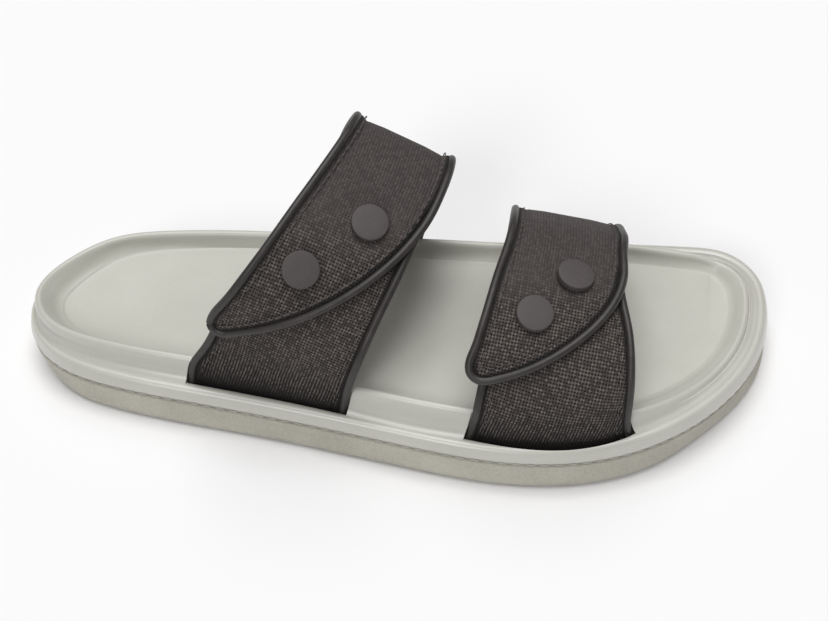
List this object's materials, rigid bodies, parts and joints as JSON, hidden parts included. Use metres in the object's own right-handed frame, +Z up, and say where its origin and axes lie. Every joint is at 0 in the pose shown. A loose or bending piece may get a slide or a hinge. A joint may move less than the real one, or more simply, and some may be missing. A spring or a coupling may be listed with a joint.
{
  "type": "slide sandal",
  "caption": "Right-foot sport slide sandal with a cupped moulded sole and two woven straps, each closed by a curved flap and round snaps.",
  "frame": {"origin": "on the floor, under the middle of the sole's outline", "axes": "+X to the toe, +Y to the inner side of the foot, +Z up"},
  "size_m": [0.2813, 0.1185, 0.098],
  "materials": {
    "moulded_footbed": "silky moulded foam",
    "matt_outsole": "matt moulded foam",
    "woven_strap": "coarse open weave",
    "soft_piping": "smooth soft cord",
    "snap_cap": "matt"
  },
  "bodies": {
    "root": {"outsole": "matt_outsole", "midsole": "moulded_footbed", "footbed": "moulded_footbed", "rear_strap_tab": "woven_strap", "rear_strap_flap": "woven_strap", "rear_flap_piping": "soft_piping", "rear_tab_piping_back": "soft_piping", "rear_tab_piping_front": "soft_piping", "snap_cap_rear_lower": "snap_cap", "snap_stud_rear_lower": "snap_cap", "snap_cap_rear_upper": "snap_cap", "snap_stud_rear_upper": "snap_cap", "front_strap_tab": "woven_strap", "front_strap_flap": "woven_strap", "front_flap_piping": "soft_piping", "front_tab_piping_back": "soft_piping", "front_tab_piping_front": "soft_piping", "snap_cap_front_lower": "snap_cap", "snap_stud_front_lower": "snap_cap", "snap_cap_front_upper": "snap_cap", "snap_stud_front_upper": "snap_cap"}
  },
  "joints": []
}
